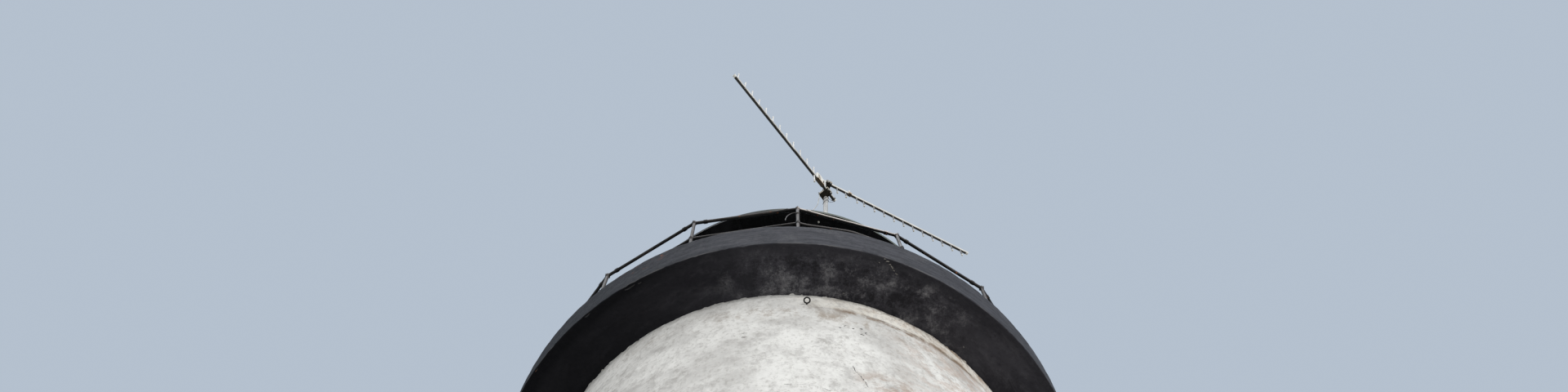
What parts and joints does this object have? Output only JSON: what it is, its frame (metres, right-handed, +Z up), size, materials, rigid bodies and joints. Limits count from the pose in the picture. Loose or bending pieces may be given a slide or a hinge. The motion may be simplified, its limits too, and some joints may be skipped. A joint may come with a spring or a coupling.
{
  "type": "lighthouse",
  "caption": "Round white masonry lighthouse tower with a black gallery, railing and lantern, and a roof mast that carries two small directional aerials.",
  "frame": {"origin": "middle of the plinth's underside, at ground level on the tower's axis", "axes": "+Z up along the tower's axis, -Y out of the entrance, +X to the right of someone facing the entrance"},
  "size_m": [6.2398, 6.8399, 20.199],
  "materials": {
    "white_wall": "white masonry paint, weathered",
    "step_stone": "dressed stone",
    "door_paint": "dark green gloss paint",
    "dark_iron": "rusty black iron",
    "window_paint": "white paint",
    "clear_glass": "clear",
    "black_slab": "black masonry paint, peeling",
    "black_rail": "black gloss paint, weathered",
    "black_lantern": "black gloss paint, weathered",
    "grey_mast": "galvanised grey",
    "white_boom": "dull anodised",
    "rod_metal": "dull anodised",
    "clamp_metal": "dull cast",
    "white_plastic": "weathered white",
    "mount_plastic": "weathered beige",
    "pale_cable": "weathered grey sheath"
  },
  "bodies": {
    "root": {"aerial_booms": "white_boom", "aerial_lead": "pale_cable", "aerial_rods": "rod_metal", "boom_clamps": "clamp_metal", "dipole_mounts": "mount_plastic", "dipoles": "white_plastic", "door_frame": "door_paint", "door_handle": "dark_iron", "door_leaf": "door_paint", "door_steps": "step_stone", "gallery_slab": "black_slab", "glazing_bars": "black_lantern", "lantern_door": "black_lantern", "lantern_glass": "clear_glass", "lantern_head": "black_lantern", "lantern_roof": "black_lantern", "lantern_sill": "black_lantern", "lantern_wall": "black_lantern", "lead_gland": "pale_cable", "lower_rails": "black_rail", "mast": "grey_mast", "mast_foot": "grey_mast", "plinth": "white_wall", "rail_posts": "black_rail", "roof_rim": "black_lantern", "roof_vent": "black_lantern", "top_rails": "black_rail", "wall_eye": "grey_mast", "wall_low_back": "white_wall", "wall_low_front_left": "white_wall", "wall_low_front_right": "white_wall", "wall_low_left": "white_wall", "wall_low_right": "white_wall", "wall_middle_back": "white_wall", "wall_middle_front": "white_wall", "wall_middle_left": "white_wall", "wall_middle_right": "white_wall", "wall_over_door": "white_wall", "wall_top_back": "white_wall", "wall_top_front": "white_wall", "wall_top_left": "white_wall", "wall_top_right": "white_wall", "window_frames": "window_paint", "window_glass": "clear_glass", "window_sills": "white_wall"}
  },
  "joints": []
}
